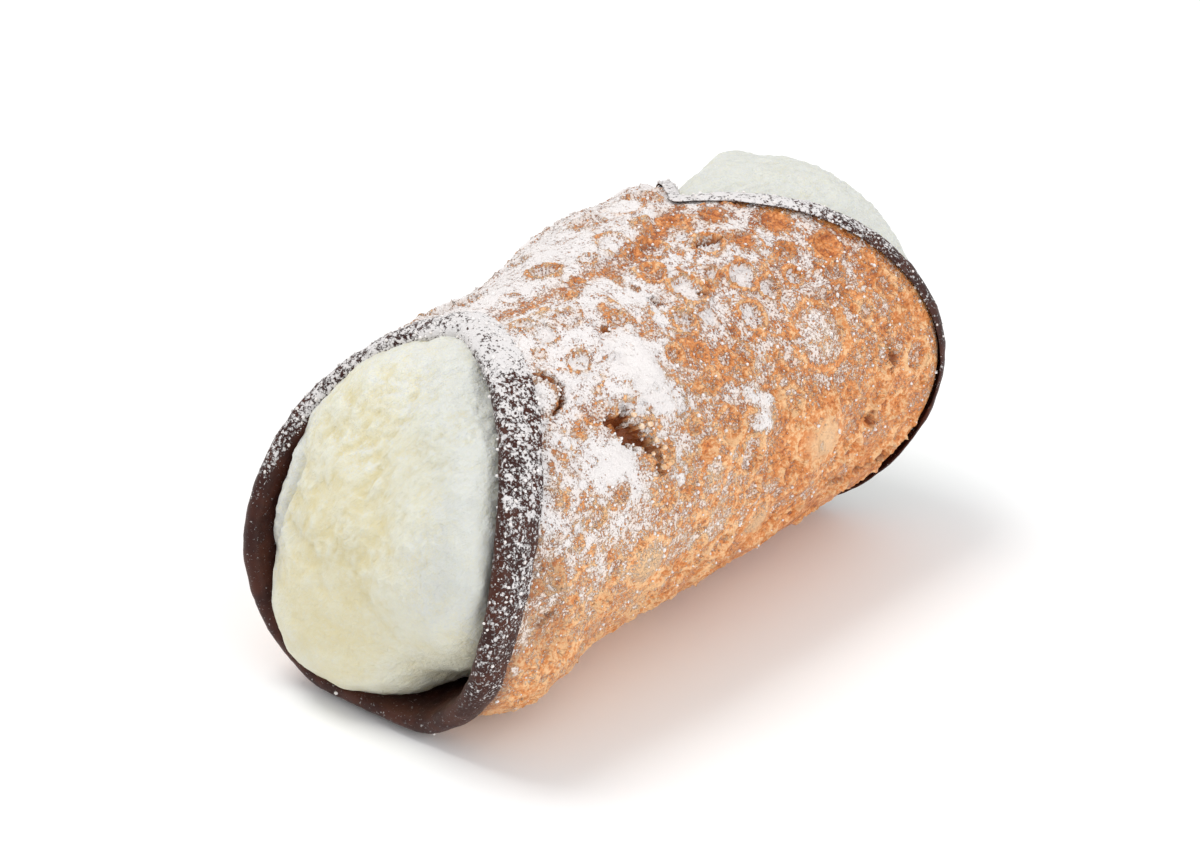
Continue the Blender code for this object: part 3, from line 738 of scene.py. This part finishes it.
# ---------------------------------------------------------------------------------------------
# The chocolate: each lip was dipped in melted dark chocolate, which ran a little over the crust and
# down the inside, and set lumpy. Icing sugar lies on all of it that faces up.
# ---------------------------------------------------------------------------------------------
DARK_CHOCOLATE, LIGHTER_CHOCOLATE = (0.034, 0.009, 0.006), (0.062, 0.017, 0.009)


def dark_chocolate():
    nodes = Nodes("dark_chocolate")
    patches = nodes.fit(nodes.noise(3 * MM, 2.0), 0.35, 0.65)
    colour = nodes.mix(patches, DARK_CHOCOLATE, LIGHTER_CHOCOLATE)
    cover = sugar_cover(nodes, nodes.value("sugar"), 1.0 * MM, 0.38 * MM, 0.35)
    colour = nodes.mix(nodes.math("MULTIPLY", cover, 0.85), colour, SUGAR_WHITE)
    rough = nodes.bump(nodes.noise(0.9 * MM, 3.0), 0.15 * MM, 0.6)
    normal = sugar_relief(nodes, cover, rough)
    nodes.finish(colour, nodes.fit(cover, 0, 1, 0.45, 0.85), normal)
    nodes.surface.inputs["Specular IOR Level"].default_value = 0.22
    return nodes.material


# How much sugar lies on each edge: (angle round the roll, share of the chocolate that it hides).
SUGAR_ON_FRONT = (
    (-110, 0.0), (-60, 0.02), (-35, 0.10), (-10, 0.27), (30, 0.42), (55, 0.48), (66, 0.56),
    (76, 0.86), (94, 0.95), (104, 0.64), (135, 0.56), (160, 0.50), (172, 0.30), (180, 0.04),
)
SUGAR_ON_BACK = (
    (-110, 0.0), (-20, 0.05), (20, 0.15), (45, 0.30), (60, 0.55), (75, 0.80), (100, 0.85),
    (140, 0.50), (180, 0.10),
)
# Each edge has its node, a start for its random lumps, how much it swells in millimetres, and the
# sugar on it.
EDGES = (
    ("chocolate_front", 31.0, 0.08, SUGAR_ON_FRONT),
    ("chocolate_back", 47.0, -0.06, SUGAR_ON_BACK),
)
chocolate_material = dark_chocolate()
chocolates = []
cream_surface = surface_of(cream.data)
for node, seed, swell, lying in EDGES:
    piece = clean_copy(node, node + "_edge")
    finish_with(piece, "SUBSURF", **ROUNDING)
    at = points_of(piece)
    outwards = normals_of(piece)
    lumps = swell + 2 * abs(swell) * waves(at, 2.4 * MM, 3, offset=seed)
    at = at + outwards * (MM * lumps)[:, None]
    at[:, 2] = np.maximum(at[:, 2], 0.2 * MM)
    move_points(piece, at)
    piece.data.shade_smooth()
    # The near side of the front edge has less sugar by the cream and more by the crust.
    turn = angle_round(at)
    share_round = np.interp(turn, *zip(*lying))
    near_side = ramp(turn, -60, -30) * ramp(-turn, -95, -70) * (node == "chocolate_front")
    from_cream = np.array([cream_surface.find_nearest(Vector(p))[3] for p in at.tolist()]) / MM
    share_round *= 1 - near_side * (0.40 - 0.70 * ramp(from_cream, 1.6, 3.8))
    not_inside = ramp(facing_out(at, outwards), -0.85, -0.35)
    sugar = not_inside * (share_round + 0.12 * waves(at, 3 * MM, 2, offset=seed))
    keep_value(piece, "sugar", np.clip(sugar, 0, THICKEST))
    piece.data.materials.clear()
    piece.data.materials.append(chocolate_material)
    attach(piece, "root")
    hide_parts(node)
    chocolates.append(piece)

# ---------------------------------------------------------------------------------------------
# Lumps of icing sugar: it was sifted over the finished cannolo, and here and there it fell in small
# lumps. A few crumbs of crust lie along the lower edge of the big tear.
# ---------------------------------------------------------------------------------------------
bpy.ops.object.select_all(action="DESELECT")
bpy.ops.mesh.primitive_ico_sphere_add(subdivisions=1, radius=1.0)
grain = bpy.context.object
grain_points = points_of(grain)
grain_faces = np.array([tuple(face.vertices) for face in grain.data.polygons])
bpy.data.objects.remove(grain)


def scatter_grains(name, places, directions, sizes, draw, lift=0.25):
    """One mesh of small uneven lumps, each sunk in the surface at its place unless it is lifted."""
    points, faces = [], []
    for number, (place, direction, size) in enumerate(zip(places, directions, sizes)):
        turn = Vector(draw.normal(size=3)).to_track_quat("Z", "Y").to_matrix()
        lump = grain_points @ np.array(turn) * draw.uniform(0.6, 1.25, 3)
        lump = lump * draw.uniform(0.8, 1.2, (len(grain_points), 1))
        points.append(place + size * (lump + lift * direction))
        faces.append(grain_faces + number * len(grain_points))
    mesh = bpy.data.meshes.new(name)
    mesh.from_pydata(np.concatenate(points).tolist(), [], np.concatenate(faces).tolist())
    mesh.validate()
    mesh.update()
    mesh.shade_smooth()
    piece = bpy.data.objects.new(name, mesh)
    bpy.context.scene.collection.objects.link(piece)
    return piece


def icing_sugar():
    nodes = Nodes("icing_sugar")
    patches = nodes.fit(nodes.noise(0.8 * MM, 2.0), 0.35, 0.65)
    colour = nodes.mix(patches, (0.80, 0.75, 0.72), (0.86, 0.83, 0.815))
    normal = nodes.bump(nodes.noise(0.12 * MM, 2.0), 0.04 * MM)
    nodes.finish(colour, 0.85, normal)
    return nodes.material


def baked_crumb():
    nodes = Nodes("baked_crumb")
    patches = nodes.fit(nodes.noise(0.5 * MM, 2.0), 0.35, 0.65)
    colour = nodes.mix(patches, (0.74, 0.44, 0.22), (0.90, 0.74, 0.58))
    normal = nodes.bump(nodes.noise(0.2 * MM, 3.0), 0.06 * MM)
    nodes.finish(colour, 0.7, normal)
    return nodes.material


# How many lumps lie on each piece. Most are small, and more lie where there is more sugar.
LUMP_COUNTS = (
    ("sugar_on_crust", crust, 5200),
    ("sugar_on_front_edge", chocolates[0], 1300),
    ("sugar_on_back_edge", chocolates[1], 450),
)
SMALLEST_LUMP, LUMP_RANGE = 0.05, 0.22
sugar_material = icing_sugar()
for name, carrier, count in LUMP_COUNTS:
    draw = np.random.default_rng(count)
    at, outwards = points_of(carrier), normals_of(carrier)
    amounts = np.empty(len(at), np.float32)
    carrier.data.attributes["sugar"].data.foreach_get("value", amounts)
    areas = np.zeros(len(at))
    for face in carrier.data.polygons:
        areas[list(face.vertices)] += face.area / len(face.vertices)
    chances = np.clip(amounts - 0.02, 0, 0.8) * areas
    chosen = draw.choice(len(at), count, replace=False, p=chances / chances.sum())
    sizes = MM * (SMALLEST_LUMP + LUMP_RANGE * draw.uniform(0, 1, count) ** 3)
    piece = scatter_grains(name, at[chosen], outwards[chosen], sizes, draw)
    piece.data.materials.append(sugar_material)
    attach(piece, "root")

CRUMB_LINE = np.array(((37.6, -15.2), (33.1, -14.7), (28.2, -14.2), (22.9, -13.6)))
CRUMB_COUNT, CRUMB_SIZES = 28, (0.16, 0.46)
draw = np.random.default_rng(3)
at, outwards = points_of(crust), normals_of(crust)
tree = tree_of(at)
spots = []
for _ in range(CRUMB_COUNT):
    start = draw.integers(0, len(CRUMB_LINE) - 1)
    share = draw.uniform()
    angle, y = CRUMB_LINE[start] * (1 - share) + CRUMB_LINE[start + 1] * share
    place = on_crust(tree, angle + draw.normal() * 0.8, y + draw.normal() * 0.25)
    spots.append(tree.find(place)[1])
sizes = MM * draw.uniform(*CRUMB_SIZES, len(spots))
crumbs = scatter_grains("crumbs", at[spots], outwards[spots], sizes, draw, lift=0.6)
crumbs.data.materials.append(baked_crumb())
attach(crumbs, "root")

# ---------------------------------------------------------------------------------------------
# The table top and a plain backdrop, the light and the camera.
# ---------------------------------------------------------------------------------------------
bpy.ops.mesh.primitive_plane_add(size=6.0, location=(0, 0, 0))
table = bpy.context.object
table.name = "table"
table_top = Nodes("pale_table")
table_top.surface.inputs["Base Color"].default_value = (0.95, 0.95, 0.95, 1)
table_top.surface.inputs["Roughness"].default_value = 0.6
table.data.materials.append(table_top.material)

world = bpy.data.worlds.new("soft_daylight")
world.use_nodes = True
sky = world.node_tree.nodes["Background"]
sky.inputs["Color"].default_value = (0.96, 0.98, 1.0, 1)
sky.inputs["Strength"].default_value = 0.80
bpy.context.scene.world = world
bpy.context.scene.view_settings.view_transform = "Standard"

MIDDLE = Vector((AXIS_X, MIDDLE_Y, AXIS_HEIGHT))


def soft_light(name, place, size, power, colour=(1, 1, 1)):
    """A square soft light that faces the roll."""
    light = bpy.data.lights.new(name, "AREA")
    light.size = size
    light.energy = power
    light.color = colour
    lamp = bpy.data.objects.new(name, light)
    lamp.location = Vector(place)
    lamp.rotation_euler = (MIDDLE - lamp.location).to_track_quat("-Z", "Y").to_euler()
    bpy.context.scene.collection.objects.link(lamp)


soft_light("window", (-0.40, -0.10, 0.90), 0.4, 4.5, (1.0, 0.985, 0.96))
soft_light("fill", (0.98, -0.10, 0.30), 0.8, 4.5)

AZIMUTH, ELEVATION, DISTANCE = math.radians(40.3), math.radians(28.7), 0.6
camera = bpy.data.objects.new("camera", bpy.data.cameras.new("camera"))
bpy.context.scene.collection.objects.link(camera)
level = math.cos(ELEVATION)
x, y = math.sin(AZIMUTH) * level, -math.cos(AZIMUTH) * level
view_way = Vector((x, y, math.sin(ELEVATION)))
camera.location = MIDDLE + DISTANCE * view_way
camera.rotation_euler = view_way.to_track_quat("Z", "Y").to_euler()
camera.data.lens = 150
camera.data.clip_start = 0.05
bpy.context.scene.camera = camera
